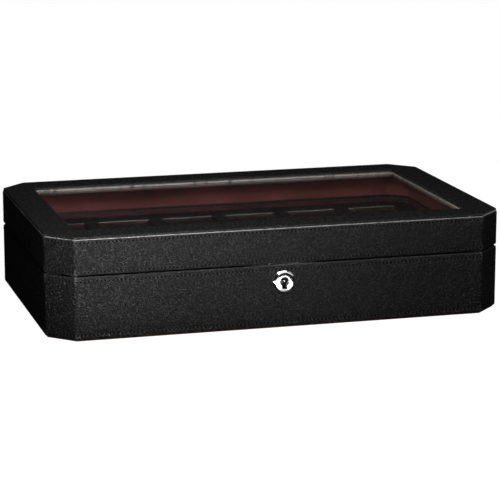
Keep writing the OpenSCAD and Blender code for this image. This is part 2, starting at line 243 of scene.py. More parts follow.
def wall_points(z_from, z_to, seams):
    """Points down a wall, with a shallow sewn groove at each seam."""
    heights = {z_from: 0.0, z_to: 0.0}
    for z in seams:
        for share, depth in GROOVE_PROFILE:
            heights[z + share * GROOVE_HALF] = depth * GROOVE_DEPTH
    marks = sorted(heights)
    for low, high in zip(marks, marks[1:]):
        pieces = int((high - low) / WALL_PITCH)
        for k in range(1, pieces + 1):
            heights[low + (high - low) * k / (pieces + 1)] = 0.0
    return [(heights[z], z) for z in sorted(heights, reverse=True)]


def wall_wrap(name, low, high, top_r, foot_r, seams, inner, turned_top, turned_foot):
    """The leather round a wall. Where turned_ is true, its top or foot turns in over the boards, to inner."""
    profile = []
    if turned_top:
        profile += [(inner, high - FLANGE_T), (inner, high), (inner * TURN_RING, high)]
    profile += quarter((top_r, high), (0, high - top_r), (0, high))
    profile += wall_points(high - top_r, low + foot_r, seams)[1:-1]
    profile += quarter((0, low + foot_r), (foot_r, low), (0, low))
    if turned_foot:
        profile += [(inner * TURN_RING, low), (inner, low)]
        profile += [(inner, low + FLANGE_T), (LEATHER_T, low + FLANGE_T)]
    else:
        profile += [(foot_r + LEATHER_T / 4, low + FLANGE_T / 2), (foot_r, low + FLANGE_T * 1.2)]
    top_back = high - FLANGE_T if turned_top else high - top_r
    profile += [(WALL_BACK, (low + high) / 2), (WALL_BACK, top_back)]
    return skin(name, [(octagon_loop(inset), z) for inset, z in profile], WALL_SLACK)


def base_wrap():
    return wall_wrap("base_leather", BASE_LOW.z, BASE_HIGH.z, RIM_R, FOOT_R, BASE_SEAMS, BASE_WALL,
                     turned_top=True, turned_foot=False)


def lid_wrap():
    return wall_wrap("lid_leather", LID_LOW.z, LID_HIGH.z, BAND_R, RIM_R, LID_SEAMS, LID_WALL,
                     turned_top=False, turned_foot=True)


# The frame's outer edge stands back a little from the wall, on a lip that closes the gap under it
TOP_EDGE_T = 2.1 * MM
TOP_EDGE_R = 0.75 * MM
TOP_FOOT_H = 0.3 * MM
TOP_FOOT_FIT = 0.03 * MM
TOP_SETBACK = 0.85 * MM
TOP_LIP = LEATHER_T - 0.25 * MM
TOP_LIP_T = 1 * MM
TOP_LIP_STEP = 0.4 * MM
TOP_LIP_LEAN = 0.1 * MM
TOP_BACK = LEATHER_T + 3 * MM
PAD_T = 0.4 * MM
WINDOW_EDGE_R = 2.2 * MM
WINDOW_FOLD_T = 0.8 * LEATHER_T
TOP_CROWN = 0.5 * MM
TOP_CROWN_RISE = 0.3 * MM
CROWN_POWER = 2.4
FRAME_STEPS = 12


def top_wrap():
    """The padded leather of the lid's frame, from under its outer edge over the top and into the window."""
    low, foot = TOP_HIGH.z - TOP_EDGE_T, TOP_LOW.z
    high = TOP_HIGH.z + TOP_CROWN_RISE - TOP_CROWN
    under = high - FLANGE_T - PAD_T
    side = TOP_SETBACK
    outer = [(TOP_LIP + TOP_LIP_T, low + TOP_LIP_STEP), (TOP_LIP, LID_HIGH.z - TOP_LIP_STEP)]
    outer += [(TOP_LIP - TOP_LIP_LEAN, low), (LEATHER_T - TOP_FOOT_FIT, low), (side, low + TOP_FOOT_H)]
    outer += quarter((side, high - TOP_EDGE_R), (side + TOP_EDGE_R, high), (side, high))
    rings = [(octagon_loop(inset), z) for inset, z in outer]
    inner = quarter((WINDOW_EDGE_R, high), (0, high - WINDOW_EDGE_R), (0, high))
    inner += [(0, foot), (WINDOW_FOLD_T, foot), (WINDOW_FOLD_T, under)]
    inner_rings = [(window_loop(grow), z) for grow, z in inner]
    start, end = rings[-1][0], inner_rings[0][0]
    for k in range(1, FRAME_STEPS):
        t = (1 - math.cos(math.pi * k / FRAME_STEPS)) / 2
        rise = TOP_CROWN * (1 - abs(2 * t - 1) ** CROWN_POWER)
        rings.append(([(a.lerp(b, t), n) for (a, n), (b, _) in zip(start, end)], high + rise))
    return skin("lid_frame_leather", rings + inner_rings + [(octagon_loop(TOP_BACK), under)])


# ---- Stitches ----

STITCH_PITCH = 3.4 * MM
STITCH_L = 2.2 * MM
STITCH_W = 0.66 * MM
STITCH_H = 0.34 * MM
STITCH_LEAN = math.radians(7)
LEAN_SPREAD = 0.04
LENGTH_SPREAD = 0.05
STITCH_LIFT = 0.55
STITCH_ARCH = 2.6
# The needle holes are dark lenses: painted shade that stands in for real holes
HOLE_L = 1.8 * MM
HOLE_H = 1.4 * MM
HOLE_LIFT = 0.03 * MM
HOLE_BULGE = 0.02 * MM
HOLE_SIDES = 10
# (share of the length from the middle, girth) along a stitch
STITCH_RINGS = ((-0.5, 0.25), (-0.42, 0.72), (-0.22, 1.0), (0.0, 1.06),
                (0.22, 1.0), (0.42, 0.72), (0.5, 0.25))
STITCH_SIDES = 8


def side_lengths(points):
    """The distance from each point of a closed loop to the next."""
    return [(points[(i + 1) % len(points)] - p).length for i, p in enumerate(points)]


def walk(points, count, start=0.0):
    """(point, tangent, distance) at count even steps round a closed loop of points.

    The first is a share start of a step along.
    """
    lengths = side_lengths(points)
    total = sum(lengths)
    found = []
    i, gone = 0, 0.0
    for k in range(count):
        want = total * (k + start) / count
        while gone + lengths[i] < want:
            gone += lengths[i]
            i += 1
        a, b = points[i], points[(i + 1) % len(points)]
        found.append((a.lerp(b, (want - gone) / lengths[i]), (b - a).normalized(), want))
    return found


def along(inset, start):
    """(point, tangent, normal) a stitch apart round the case's outline moved inwards by inset."""
    points = [p for p, _ in octagon_loop(inset)]
    count = round(sum(side_lengths(points)) / STITCH_PITCH)
    return [(p, t, Vector((t.y, -t.x))) for p, t, _ in walk(points, count, start)]


def stitch_row(name, z, seed):
    """A row of stitches lying in the groove at height z, as one mesh of separate closed stitches."""
    rng = random.Random(seed)
    verts, faces = [], []
    for p, t, n in along(GROOVE_DEPTH, 0.5):
        depth = dip(p, z, WALL_SLACK)
        centre = Vector((p.x - n.x * depth, p.y - n.y * depth, z))
        out, run = Vector((n.x, n.y, 0)), Vector((t.x, t.y, 0))
        lean = STITCH_LEAN + rng.uniform(-LEAN_SPREAD, LEAN_SPREAD)
        length = STITCH_L * rng.uniform(1 - LENGTH_SPREAD, 1 + LENGTH_SPREAD)
        axis = run * math.cos(lean) + Vector((0, 0, math.sin(lean)))
        across = out.cross(axis)
        first = len(verts)
        for share, girth in STITCH_RINGS:
            lift = STITCH_H * (STITCH_LIFT - STITCH_ARCH * share * share)
            for s in range(STITCH_SIDES):
                a = 2 * math.pi * s / STITCH_SIDES
                verts.append(centre + axis * (share * length)
                             + out * (lift + STITCH_H * girth * math.sin(a) / 2)
                             + across * (STITCH_W * girth * math.cos(a) / 2))
        for ring in range(len(STITCH_RINGS) - 1):
            for s in range(STITCH_SIDES):
                a, b = first + ring * STITCH_SIDES + s, first + ring * STITCH_SIDES + (s + 1) % STITCH_SIDES
                faces.append((a, b, b + STITCH_SIDES, a + STITCH_SIDES))
        last = first + (len(STITCH_RINGS) - 1) * STITCH_SIDES
        faces.append(tuple(first + s for s in reversed(range(STITCH_SIDES))))
        faces.append(tuple(last + s for s in range(STITCH_SIDES)))
    return smooth_object(name, verts, faces)


def hole_shade_row(name, z):
    """Painted shade for the needle holes between a row's stitches: one mesh of shallow, near-black closed
    lenses in the groove.
    """
    verts, faces = [], []
    for p, t, n in along(0, 0.0):
        depth = dip(p, z, WALL_SLACK)
        out, run = Vector((n.x, n.y, 0)), Vector((t.x, t.y, 0))
        centre = Vector((p.x, p.y, z)) + out * (HOLE_LIFT - depth)
        first = len(verts)
        verts += [centre + out * HOLE_BULGE, centre - out * GROOVE_DEPTH]
        for s in range(HOLE_SIDES):
            a = 2 * math.pi * s / HOLE_SIDES
            verts.append(centre + run * (HOLE_L / 2 * math.cos(a)) + Vector((0, 0, HOLE_H / 2 * math.sin(a))))
        for s in range(HOLE_SIDES):
            here, there = first + 2 + s, first + 2 + (s + 1) % HOLE_SIDES
            faces += [(first, here, there), (first + 1, there, here)]
    return smooth_object(name, verts, faces)


# ---- Pieces that keep their CAD shape with softer edges ----

MERGE = 1e-6
FLAT_ANGLE = math.radians(0.5)
BEVEL_ANGLE = math.radians(35)


def settle(obj):
    """Applies every modifier to the mesh."""
    graph = bpy.context.evaluated_depsgraph_get()
    mesh = bpy.data.meshes.new_from_object(obj.evaluated_get(graph), depsgraph=graph)
    obj.modifiers.clear()
    obj.data = mesh
    return obj


def softened(node, name, width, segments=2):
    """A copy of a CAD node's shape with its sharp edges rounded."""
    bm = bmesh.new()
    bm.from_mesh(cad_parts[node].data)
    bmesh.ops.remove_doubles(bm, verts=bm.verts, dist=MERGE)
    bmesh.ops.dissolve_limit(bm, angle_limit=FLAT_ANGLE, verts=bm.verts, edges=bm.edges)
    verts = [v.co.copy() for v in bm.verts]
    faces = [[v.index for v in f.verts] for f in bm.faces]
    bm.free()
    obj = smooth_object(name, verts, faces)
    bevel = obj.modifiers.new("bevel", "BEVEL")
    bevel.width = width
    bevel.segments = segments
    bevel.limit_method = "ANGLE"
    bevel.angle_limit = BEVEL_ANGLE
    bevel.harden_normals = True
    return settle(obj)


def block(low, high):
    """A plain box used only to cut with."""
    xs, ys, zs = zip(low, high)
    verts = [(x, y, z) for x in xs for y in ys for z in zs]
    faces = [(0, 1, 3, 2), (4, 6, 7, 5), (0, 4, 5, 1), (2, 3, 7, 6), (0, 2, 6, 4), (1, 5, 7, 3)]
    return smooth_object("cutter", verts, faces)


def prism_faces(count):
    """The sides and both ends of a solid between two like outlines of count points."""
    sides = [(i, (i + 1) % count, count + (i + 1) % count, count + i) for i in range(count)]
    return sides + [tuple(reversed(range(count))), tuple(range(count, 2 * count))]


def prism(outline, y0, y1):
    """An outline of (x, z) points as a solid from y0 to y1, used only to cut with."""
    verts = [(x, y, z) for y in (y0, y1) for x, z in outline]
    return smooth_object("cutter", verts, prism_faces(len(outline)))


CREASE = 40


def carve(obj, cutters):
    """Cuts the cutters out of obj and removes them."""
    for cutter in cutters:
        cut = obj.modifiers.new("cut", "BOOLEAN")
        cut.operation = "DIFFERENCE"
        cut.solver = "EXACT"
        cut.object = cutter
    settle(obj)
    for cutter in cutters:
        bpy.data.objects.remove(cutter)
    obj.data.set_sharp_from_angle(angle=math.radians(CREASE))
    return obj


# ---- Lock ----

KEYHOLE_R = 3.7 * MM
KEY_SLOT_HALF = 2.2 * MM
KEY_SLOT_DROP = 6.9 * MM
KEYHOLE_STEPS = 96
POST_LOW, POST_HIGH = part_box("lock_post")
KEY_Z = (POST_LOW.z + POST_HIGH.z) / 2


def keyhole_radius(turn):
    """Distance from the keyhole's centre to its edge. turn is measured from straight down."""
    if abs(turn) < math.atan2(KEY_SLOT_HALF, KEY_SLOT_DROP):
        return KEY_SLOT_DROP / math.cos(turn)
    if abs(turn) < math.asin(KEY_SLOT_HALF / KEYHOLE_R):
        return KEY_SLOT_HALF / math.sin(abs(turn))
    return KEYHOLE_R


def keyhole_turns():
    """Even turns round the keyhole, with one at each of its corners."""
    turns = [math.pi * (2 * (k + 0.5) / KEYHOLE_STEPS - 1) for k in range(KEYHOLE_STEPS)]
    for corner in (math.atan2(KEY_SLOT_HALF, KEY_SLOT_DROP), math.asin(KEY_SLOT_HALF / KEYHOLE_R)):
        for sign in (-1, 1):
            near = min(range(len(turns)), key=lambda k: abs(turns[k] - sign * corner))
            turns[near] = sign * corner
    return turns


def keyhole_outline(grow=0.0):
    """(x, z) points round the keyhole, grown by grow."""
    points = []
    for turn in keyhole_turns():
        r = keyhole_radius(turn) + grow
        points.append((r * math.sin(turn), KEY_Z - r * math.cos(turn)))
    return points


PLATE_LOW, PLATE_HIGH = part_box("lock_escutcheon")
PLATE_R = (PLATE_HIGH.x - PLATE_LOW.x) / 2
PLATE_Z = (PLATE_HIGH.z + PLATE_LOW.z) / 2
PLATE_BEVEL = 1.9 * MM
PLATE_DOME = 0.16 * MM
PLATE_FACE_RINGS = 6
# (share of the bevel's width from the face outwards, share of its height), down its hollow
PLATE_HOLLOW = ((0.25, 0.93), (0.5, 0.78), (0.72, 0.58), (0.86, 0.47), (0.93, 0.43))
PLATE_ARRIS = 0.02 * MM
PLATE_ARRIS_TOP = 0.34
PLATE_ARRIS_FOOT = 0.26
PLATE_CREASE = 50
KEY_EDGE = 0.3 * MM
KEY_EDGE_STEPS = 3


def escutcheon():
    """The polished plate round the keyhole: a hollow bevel, a slightly domed face and a rolled inner edge."""
    back, face = PLATE_HIGH.y, PLATE_LOW.y
    turns = keyhole_turns()

    def hole(grow, y):
        return [Vector((x, y, z)) for x, z in keyhole_outline(grow)]

    def circle(r, y):
        return [Vector((r * math.sin(t), y, PLATE_Z - r * math.cos(t))) for t in turns]

    rings = [hole(0, back), hole(0, face + KEY_EDGE)]
    for k in range(1, KEY_EDGE_STEPS + 1):
        a = QUARTER_TURN * k / KEY_EDGE_STEPS
        rings.append(hole(KEY_EDGE * (1 - math.cos(a)), face + KEY_EDGE * (1 - math.sin(a))))
    inner, outer = rings[-1], circle(PLATE_R - PLATE_BEVEL, face)
    for k in range(1, PLATE_FACE_RINGS + 1):
        t = k / PLATE_FACE_RINGS
        drop = Vector((0, PLATE_DOME * t * t, 0))
        rings.append([p.lerp(q, t) + drop for p, q in zip(inner, outer)])
    rise = back - face - PLATE_DOME
    for share, height in PLATE_HOLLOW:
        rings.append(circle(PLATE_R - PLATE_BEVEL * (1 - share), back - rise * height))
    rings.append(circle(PLATE_R - PLATE_ARRIS, back - rise * PLATE_ARRIS_TOP))
    rings.append(circle(PLATE_R, back - rise * PLATE_ARRIS_FOOT))
    rings.append(circle(PLATE_R, back))
    verts = [p for ring in rings for p in ring]
    return smooth_object("escutcheon", verts, ring_faces(len(rings), len(turns)), PLATE_CREASE)


# ---- Cushions ----

CUSHION_LOW, CUSHION_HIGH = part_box("cushion_front_1")
CUSHION_SIZE = CUSHION_HIGH - CUSHION_LOW
# How far the empty cushion is inside the CAD's block on each side, and how far the filled one may pass it
CUSHION_SHRINK = Vector((1.3, 0.3, -0.7)) * MM
CUSHION_REACH = Vector((0.35, 0.9, 1.6)) * MM
CUSHION_HALF = CUSHION_SIZE / 2 - CUSHION_SHRINK
CUSHION_CORNER_R = 5 * MM
CUSHION_ARC = 8
CUSHION_VOXEL = 3.0 * MM
CUSHION_PRESSURE = 4.0
PRESSURE_SPREAD = (0.85, 1.1)
CLOTH_FRAMES = 20
CUSHION_GROWTH = 3.0 * MM
SOFT_SIZE = 14 * MM
SOFT_DETAIL_SIZE = 6 * MM
SOFT_DETAIL = 0.5
SOFT_DEPTH = 0.28 * MM
NOISE_SHIFT = 9
SEAM_REACH = 2.2 * MM
SEAM_SINK = 0.5 * MM
PUCKER = 0.175 * MM
PUCKER_PITCH = 5.2 * MM
PUCKER_REACH = 7 * MM
PUCKER_SLANT = 0.7
PUCKER_SWAY = 3
PIPING_R = 0.65 * MM
PIPING_SIDES = 8
PIPING_STEPS = 110
PIPING_ARC = 14
PIPING_SINK = 0.1 * MM
PIPING_TWIST = 0.06
PIPING_TWIST_PITCH = 2.4 * MM


def oval(half_l, half_h, r, steps):
    """Points of (y, z) round a rounded rectangle, steps to each corner."""
    points = []
    for i, (sy, sz) in enumerate(((1, -1), (1, 1), (-1, 1), (-1, -1))):
        for k in range(steps + 1):
            a = QUARTER_TURN * (i - 1 + k / steps)
            points.append((sy * (half_l - r) + r * math.cos(a), sz * (half_h - r) + r * math.sin(a)))
    return points


def cushion_blank(name):
    """A cushion before it is filled, about its own middle: a block whose long side view has round corners."""
    outline = oval(CUSHION_HALF.y, CUSHION_HALF.z, CUSHION_CORNER_R, CUSHION_ARC)
    verts = [(x, y, z) for x in (-CUSHION_HALF.x, CUSHION_HALF.x) for y, z in outline]
    return smooth_object(name, verts, prism_faces(len(outline)))


def seam_distance(co):
    """How far a point is from the nearer of the two seams round the cushion's ends."""
    half = CUSHION_HALF
    y = max(abs(co.y) - (half.y - CUSHION_CORNER_R), 0)
    z = max(abs(co.z) - (half.z - CUSHION_CORNER_R), 0)
    rim = CUSHION_CORNER_R - math.hypot(y, z)
    if abs(co.y) < half.y - CUSHION_CORNER_R or abs(co.z) < half.z - CUSHION_CORNER_R:
        rim = min(half.y - abs(co.y), half.z - abs(co.z))
    return math.hypot(max(rim, 0), half.x - abs(co.x))


def stuffed_cushion(seed):
    """One filled cushion about its own middle: sewn round both ends, crowned between the seams."""
    rng = random.Random(seed)
    obj = cushion_blank("stuffing")
    remesh = obj.modifiers.new("remesh", "REMESH")
    remesh.mode = "VOXEL"
    remesh.voxel_size = CUSHION_VOXEL
    settle(obj)
    rest = [v.co.copy() for v in obj.data.vertices]
    near = [seam_distance(co) for co in rest]
    pins = obj.vertex_groups.new(name="seams")
    for i, d in enumerate(near):
        pins.add([i], max(0.0, 1 - d / SEAM_REACH), "REPLACE")
    cloth = obj.modifiers.new("cloth", "CLOTH")
    cloth.settings.vertex_group_mass = "seams"
    cloth.settings.use_pressure = True
    cloth.settings.uniform_pressure_force = CUSHION_PRESSURE * rng.uniform(*PRESSURE_SPREAD)
    cloth.settings.effector_weights.gravity = 0
    for step in range(1, CLOTH_FRAMES + 1):
        bpy.context.scene.frame_set(step)
    settle(obj)
    bpy.context.scene.frame_set(1)
    offset = Vector([rng.uniform(-NOISE_SHIFT, NOISE_SHIFT) for _ in range(3)])
    limit = CUSHION_SIZE / 2 + CUSHION_REACH
    for v, was, d in zip(obj.data.vertices, rest, near):
        move = v.co - was
        if move.length > CUSHION_GROWTH:
            move *= CUSHION_GROWTH / move.length
        n = v.normal
        soft = noise.noise(was / SOFT_SIZE + offset)
        soft += SOFT_DETAIL * noise.noise(was / SOFT_DETAIL_SIZE - offset)
        pull = math.exp(-(d / PUCKER_REACH) ** 2)
        place = (was.y + was.z * PUCKER_SLANT) / PUCKER_PITCH
        ripple = math.sin(2 * math.pi * place + PUCKER_SWAY * soft)
        co = was + move + n * (SOFT_DEPTH * soft + PUCKER * pull * ripple)
        co -= n * SEAM_SINK * math.exp(-(d / SEAM_REACH) ** 2)
        v.co = Vector(max(-m, min(m, c)) for c, m in zip(co, limit))
    subdivide = obj.modifiers.new("subdivide", "SUBSURF")
    subdivide.levels = subdivide.render_levels = 1
    settle(obj)
    obj.data.shade_smooth()
    return obj


def piping_shape():
    """The two rolled seams round a cushion's ends, about the cushion's own middle."""
    outline = [Vector(p) for p in oval(CUSHION_HALF.y, CUSHION_HALF.z, CUSHION_CORNER_R, PIPING_ARC)]
    verts, faces = [], []
    for side in (-1, 1):
        first = len(verts)
        for p, t, distance in walk(outline, PIPING_STEPS):
            out = Vector((0, t.y, -t.x))
            centre = Vector((side * (CUSHION_HALF.x - PIPING_SINK), p.x, p.y)) - out * PIPING_SINK
            r = PIPING_R * (1 + PIPING_TWIST * math.sin(2 * math.pi * distance / PIPING_TWIST_PITCH))
            for s in range(PIPING_SIDES):
                turn = 2 * math.pi * s / PIPING_SIDES
                verts.append(centre + out * (r * math.sin(turn)) + Vector((r * math.cos(turn), 0, 0)))
        faces += ring_faces(PIPING_STEPS, PIPING_SIDES, first)
    return verts, faces


CUSHION_MODELS = 3
COLUMNS = 6


def rested(name, verts, faces, floor):
    """An object whose lowest points are pressed flat on the pocket's floor."""
    obj = smooth_object(name, verts, faces)
    for v in obj.data.vertices:
        v.co.z = max(v.co.z, floor)
    return obj


def cushions():
    """[(node, cover, piping)] for the twelve cushions, turned and mirrored forms of a few filled ones."""
    models = [stuffed_cushion(seed) for seed in range(CUSHION_MODELS)]
    made = []
    pipe_verts, pipe_faces = piping_shape()
    places = [(row, column) for row in ("front", "back") for column in range(1, COLUMNS + 1)]
    for k, (row, column) in enumerate(places):
        node = f"cushion_{row}_{column}"
        low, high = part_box(node)
        middle = (low + high) / 2
        turn = Matrix.Diagonal((1 if k % 2 else -1, 1 if k % 4 < 2 else -1, 1))
        model = models[(k * 2 + k // COLUMNS) % CUSHION_MODELS].data
        flip = turn.determinant() < 0
        verts = [turn @ v.co + middle for v in model.vertices]
        faces = [tuple(reversed(p.vertices)) if flip else tuple(p.vertices) for p in model.polygons]
        cover = rested(f"{node}_cover", verts, faces, low.z)
        piping = rested(f"{node}_piping", [v + middle for v in pipe_verts], pipe_faces, low.z)
        made.append((node, cover, piping))
    for model in models:
        bpy.data.objects.remove(model)
    return made


# ---- Materials: noise scales are per metre, ranges are bands of a noise's values ----

MIDDLE = (0.3, 0.7)
WIDE = (0.2, 0.8)
CLOUDY = (0.25, 0.75)
# The distance from its cell's edge, in cells, at which a pebble reaches its full height
PEBBLE_SLOPE = 0.36
# A Mix node's sockets for colours
COLOUR_MIX_INPUTS, COLOUR_MIX_OUTPUT = (0, 6, 7), 2
# Bands of the pointiness, of the square of the normal's y, and of the normal's z, which pick the edges that
# get a painted highlight
POINTY_EDGE_BAND = (0.52, 0.575)
ACROSS_BAND = (0.10, 0.35)
UPPER_BAND = (0.05, 0.30)


class Surface:
    """A new material with one Principled shader, and short calls that add nodes to it."""

    def __init__(self, name, **constants):
        self.material = bpy.data.materials.new(name)
        self.material.use_nodes = True
        self.tree = self.material.node_tree
        self.tree.nodes.clear()
        self.shader = self.node("ShaderNodeBsdfPrincipled")
        output = self.node("ShaderNodeOutputMaterial")
        self.link(self.shader.outputs["BSDF"], output.inputs["Surface"])
        for key, value in constants.items():
            self.shader.inputs[key.replace("_", " ")].default_value = value
        self.place = self.node("ShaderNodeTexCoord").outputs["Object"]

    def node(self, kind, **settings):
        """A new node of that kind with those settings."""
        made = self.tree.nodes.new(kind)
        for key, value in settings.items():
            setattr(made, key, value)
        return made

    def link(self, source, target):
        self.tree.links.new(source, target)

    def put(self, target, value):
        """Stores a number or colour in an input, or links a socket to it."""
        if isinstance(value, bpy.types.NodeSocket):
            self.link(value, target)
        else:
            target.default_value = value

    def set(self, node, **values):
        """Puts values in a node's inputs by name."""
        for key, value in values.items():
            self.put(node.inputs[key.replace("_", " ")], value)
        return node

    def noise(self, scale, detail=2.0, roughness=0.5, place=None):
        """A smooth noise from 0 to 1."""
        made = self.set(self.node("ShaderNodeTexNoise"), Vector=place or self.place,
                        Scale=scale, Detail=detail, Roughness=roughness)
        return made.outputs["Fac"]

    def stretch(self, scale):
        """The place with each axis scaled."""
        made = self.set(self.node("ShaderNodeMapping"), Vector=self.place)
        made.inputs["Scale"].default_value = scale
        return made.outputs["Vector"]

    def pebbles(self, scale, place=None):
        """Rounded cells: 1 on their tops, 0 in the creases between them."""
        made = self.node("ShaderNodeTexVoronoi", feature="DISTANCE_TO_EDGE")
        self.set(made, Vector=place or self.place, Scale=scale)
        return self.remap(made.outputs["Distance"], 0.0, PEBBLE_SLOPE)

    def remap(self, value, low, high, to_low=0.0, to_high=1.0):
        """A value's band from low to high turned, with soft ends, into one from to_low to to_high."""
        made = self.node("ShaderNodeMapRange", interpolation_type="SMOOTHSTEP")
        self.set(made, Value=value, From_Min=low, From_Max=high, To_Min=to_low, To_Max=to_high)
        return made.outputs["Result"]

    def math(self, operation, a, b):
        """Two numbers or sockets joined by one operation."""
        made = self.node("ShaderNodeMath", operation=operation)
        for i, value in enumerate((a, b)):
            self.put(made.inputs[i], value)
        return made.outputs["Value"]

    def blend(self, share, a, b):
        """Colour a turning into colour b by share."""
        made = self.node("ShaderNodeMix", data_type="RGBA")
        for i, value in zip(COLOUR_MIX_INPUTS, (share, a, b)):
            self.put(made.inputs[i], value)
        return made.outputs[COLOUR_MIX_OUTPUT]

    def bump(self, height, depth, under=None):
        """Relief of that depth in metres for a height from 0 to 1, over another relief."""
        made = self.set(self.node("ShaderNodeBump"), Height=height, Distance=depth)
        if under:
            self.link(under, made.inputs["Normal"])
        return made.outputs["Normal"]

    def rubbed_highlight_edges(self):
        """1 on the mesh's outward edges, which get rubbed gloss and a painted highlight, 0 elsewhere."""
        return self.remap(self.node("ShaderNodeNewGeometry").outputs["Pointiness"], *POINTY_EDGE_BAND)

    def highlit_long_edges(self):
        """1 on rounded upper edges that run across the box, which get rubbed gloss and a painted highlight, 0
        elsewhere.
        """
        split = self.node("ShaderNodeSeparateXYZ")
        self.link(self.node("ShaderNodeTexCoord").outputs["Normal"], split.inputs[0])
        across = self.remap(self.math("MULTIPLY", split.outputs["Y"], split.outputs["Y"]), *ACROSS_BAND)
        return self.math("MULTIPLY", across, self.remap(split.outputs["Z"], *UPPER_BAND))

    def finish(self, colour, roughness, normal=None):
        """Links what is given to the shader and returns the material."""
        self.link(colour, self.shader.inputs["Base Color"])
        self.link(roughness, self.shader.inputs["Roughness"])
        if normal:
            self.link(normal, self.shader.inputs["Normal"])
        return self.material


def grey(value, red=1.0, blue=1.0):
    """A grey, warmer or cooler where red and blue differ from 1."""
    return (value * red, value, value * blue, 1.0)


# Scales of leather's slow changes: its patches, where its edges are rubbed and painted with a highlight, and
# its polish
PATCH_SCALE = 45
RUB_HIGHLIGHT_SCALE = 160
POLISH_SCALE = 110
# Of the pebbles: how far they are pushed about, and the finenesses and reliefs that go with their own
WARP = 0.9
WARP_SCALE = 0.5
SWELL_SCALE = 0.95
SWELL_STRETCH = (0.8, 0.8, 1.25)
SWELL_BAND = (0.40, 0.62)
PORE_SCALE = 7
RELIEF = {"patches": 0.8, "swell": 2.6, "tops": 1.3, "pores": 0.15}
# What the creases lose in colour as painted shade and gain in roughness, and the specular levels from crease
# to top
SWELL_SHADE, CREASE_SHADE = 0.05, 0.1
SWELL_MATT, CREASE_MATT = 0.25, 0.22
GLOSS = (0.28, 0.92)
# How much of a rubbed edge's colour becomes the painted highlight's grey, and what it gains in gloss and
# loses in roughness
HIGHLIGHT_SHARE, WORN_GLOSS, WORN_POLISH = 0.85, 0.5, 0.1
HIGHLIGHT_TINT = (1.03, 0.97)
RUB_HIGHLIGHT_BAND = (0.15, 0.5)


def leather(name, grain, depth, dark, light, rough, edge=0.42, lined=False):
    """Pebbled leather: uneven glossy pebbles with matt creases painted dark as shade between them, and
    polished edges painted light as a highlight.

    edge is the grey of the painted highlight on the polished edges: all the outward ones, or only the long
    upper ones if lined.
    """
    s = Surface(name, IOR=1.47)
    warp = s.node("ShaderNodeTexNoise")
    s.set(warp, Vector=s.place, Scale=grain * WARP_SCALE, Detail=2.0)
    spread = s.set(s.node("ShaderNodeVectorMath", operation="SCALE"), Scale=WARP / grain)
    s.link(warp.outputs["Color"], spread.inputs[0])
    moved = s.node("ShaderNodeVectorMath", operation="ADD")
    s.link(s.place, moved.inputs[0])
    s.link(spread.outputs["Vector"], moved.inputs[1])
    tops = s.pebbles(grain, moved.outputs["Vector"])
    swell = s.remap(s.noise(grain * SWELL_SCALE, 1.0, 0.5, s.stretch(SWELL_STRETCH)), *SWELL_BAND)
    pores = s.noise(grain * PORE_SCALE, 3.0)
    patches = s.noise(PATCH_SCALE, 3.0)
    relief = None
    for height, layer in ((patches, "patches"), (swell, "swell"), (tops, "tops"), (pores, "pores")):
        relief = s.bump(height, depth * RELIEF[layer], relief)
    rub_highlight = s.highlit_long_edges() if lined else s.rubbed_highlight_edges()
    rub_highlight = s.math("MULTIPLY", rub_highlight, s.remap(s.noise(RUB_HIGHLIGHT_SCALE, 2.0), *RUB_HIGHLIGHT_BAND))
    tone = s.blend(s.remap(patches, *MIDDLE), grey(dark), grey(light))
    # Painted shade: the hollows of the swell and the creases between pebbles are darkened
    tone = s.blend(swell, grey(dark * SWELL_SHADE), tone)
    tone = s.blend(tops, grey(dark * CREASE_SHADE), tone)
    # Painted highlight: the chosen edges are lightened towards the edge grey
    tone = s.blend(s.math("MULTIPLY", rub_highlight, HIGHLIGHT_SHARE), tone, grey(edge, *HIGHLIGHT_TINT))
    shine = s.remap(s.noise(POLISH_SCALE, 2.0), *CLOUDY, *rough)
    shine = s.math("ADD", shine, s.remap(tops, *WIDE, CREASE_MATT, 0.0))
    shine = s.math("ADD", shine, s.remap(swell, 0.0, 1.0, SWELL_MATT, 0.0))
    shine = s.math("SUBTRACT", shine, s.math("MULTIPLY", rub_highlight, WORN_POLISH))
    gloss = s.remap(s.math("MULTIPLY", tops, swell), 0.0, 0.8, *GLOSS)
    gloss = s.math("ADD", gloss, s.math("MULTIPLY", rub_highlight, WORN_GLOSS))
    s.link(gloss, s.shader.inputs["Specular IOR Level"])
    return s.finish(tone, shine, relief)


FIBRE_RELIEF = 0.12 * MM
STRAND_RELIEF = 0.10 * MM
BRUSHED_RELIEF = 0.6 * MM
BLACK = (0, 0, 0, 1)


def suede(name, dark, light, nap=1.0):
    """Short-napped cloth: brushed patches, loose fibres and a soft sheen."""
    s = Surface(name, Sheen_Weight=0.25, Sheen_Roughness=0.4, IOR=1.3)
    s.shader.inputs["Sheen Tint"].default_value = light
    brushed = s.noise(26, 4.0, 0.6)
    fibres = s.noise(2600, 3.0, 0.7)
    strands = s.noise(900, 3.0, 0.6, s.stretch((1, 1, 0.35)))
    tone = s.blend(s.remap(brushed, *MIDDLE), dark, light)
    tone = s.blend(s.remap(fibres, 0.3, 0.75), s.blend(0.35, tone, BLACK), tone)
    relief = s.bump(fibres, FIBRE_RELIEF * nap)
    relief = s.bump(strands, STRAND_RELIEF * nap, relief)
    relief = s.bump(brushed, BRUSHED_RELIEF * nap, relief)
    return s.finish(tone, s.remap(brushed, *WIDE, 0.86, 0.98), relief)


def fibreboard(name, dark, light):
    """Pressed board: fine fibres and darker flecks."""
    s = Surface(name)
    flecks = s.noise(1400, 4.0, 0.7)
    lumps = s.noise(180, 3.0)
    tone = s.blend(s.remap(flecks, 0.35, 0.65), dark, light)
    tone = s.blend(s.remap(lumps, 0.3, 0.8, 0, 0.5), tone, dark)
    return s.finish(tone, s.remap(lumps, *WIDE, 0.78, 0.92), s.bump(flecks, 0.08 * MM))


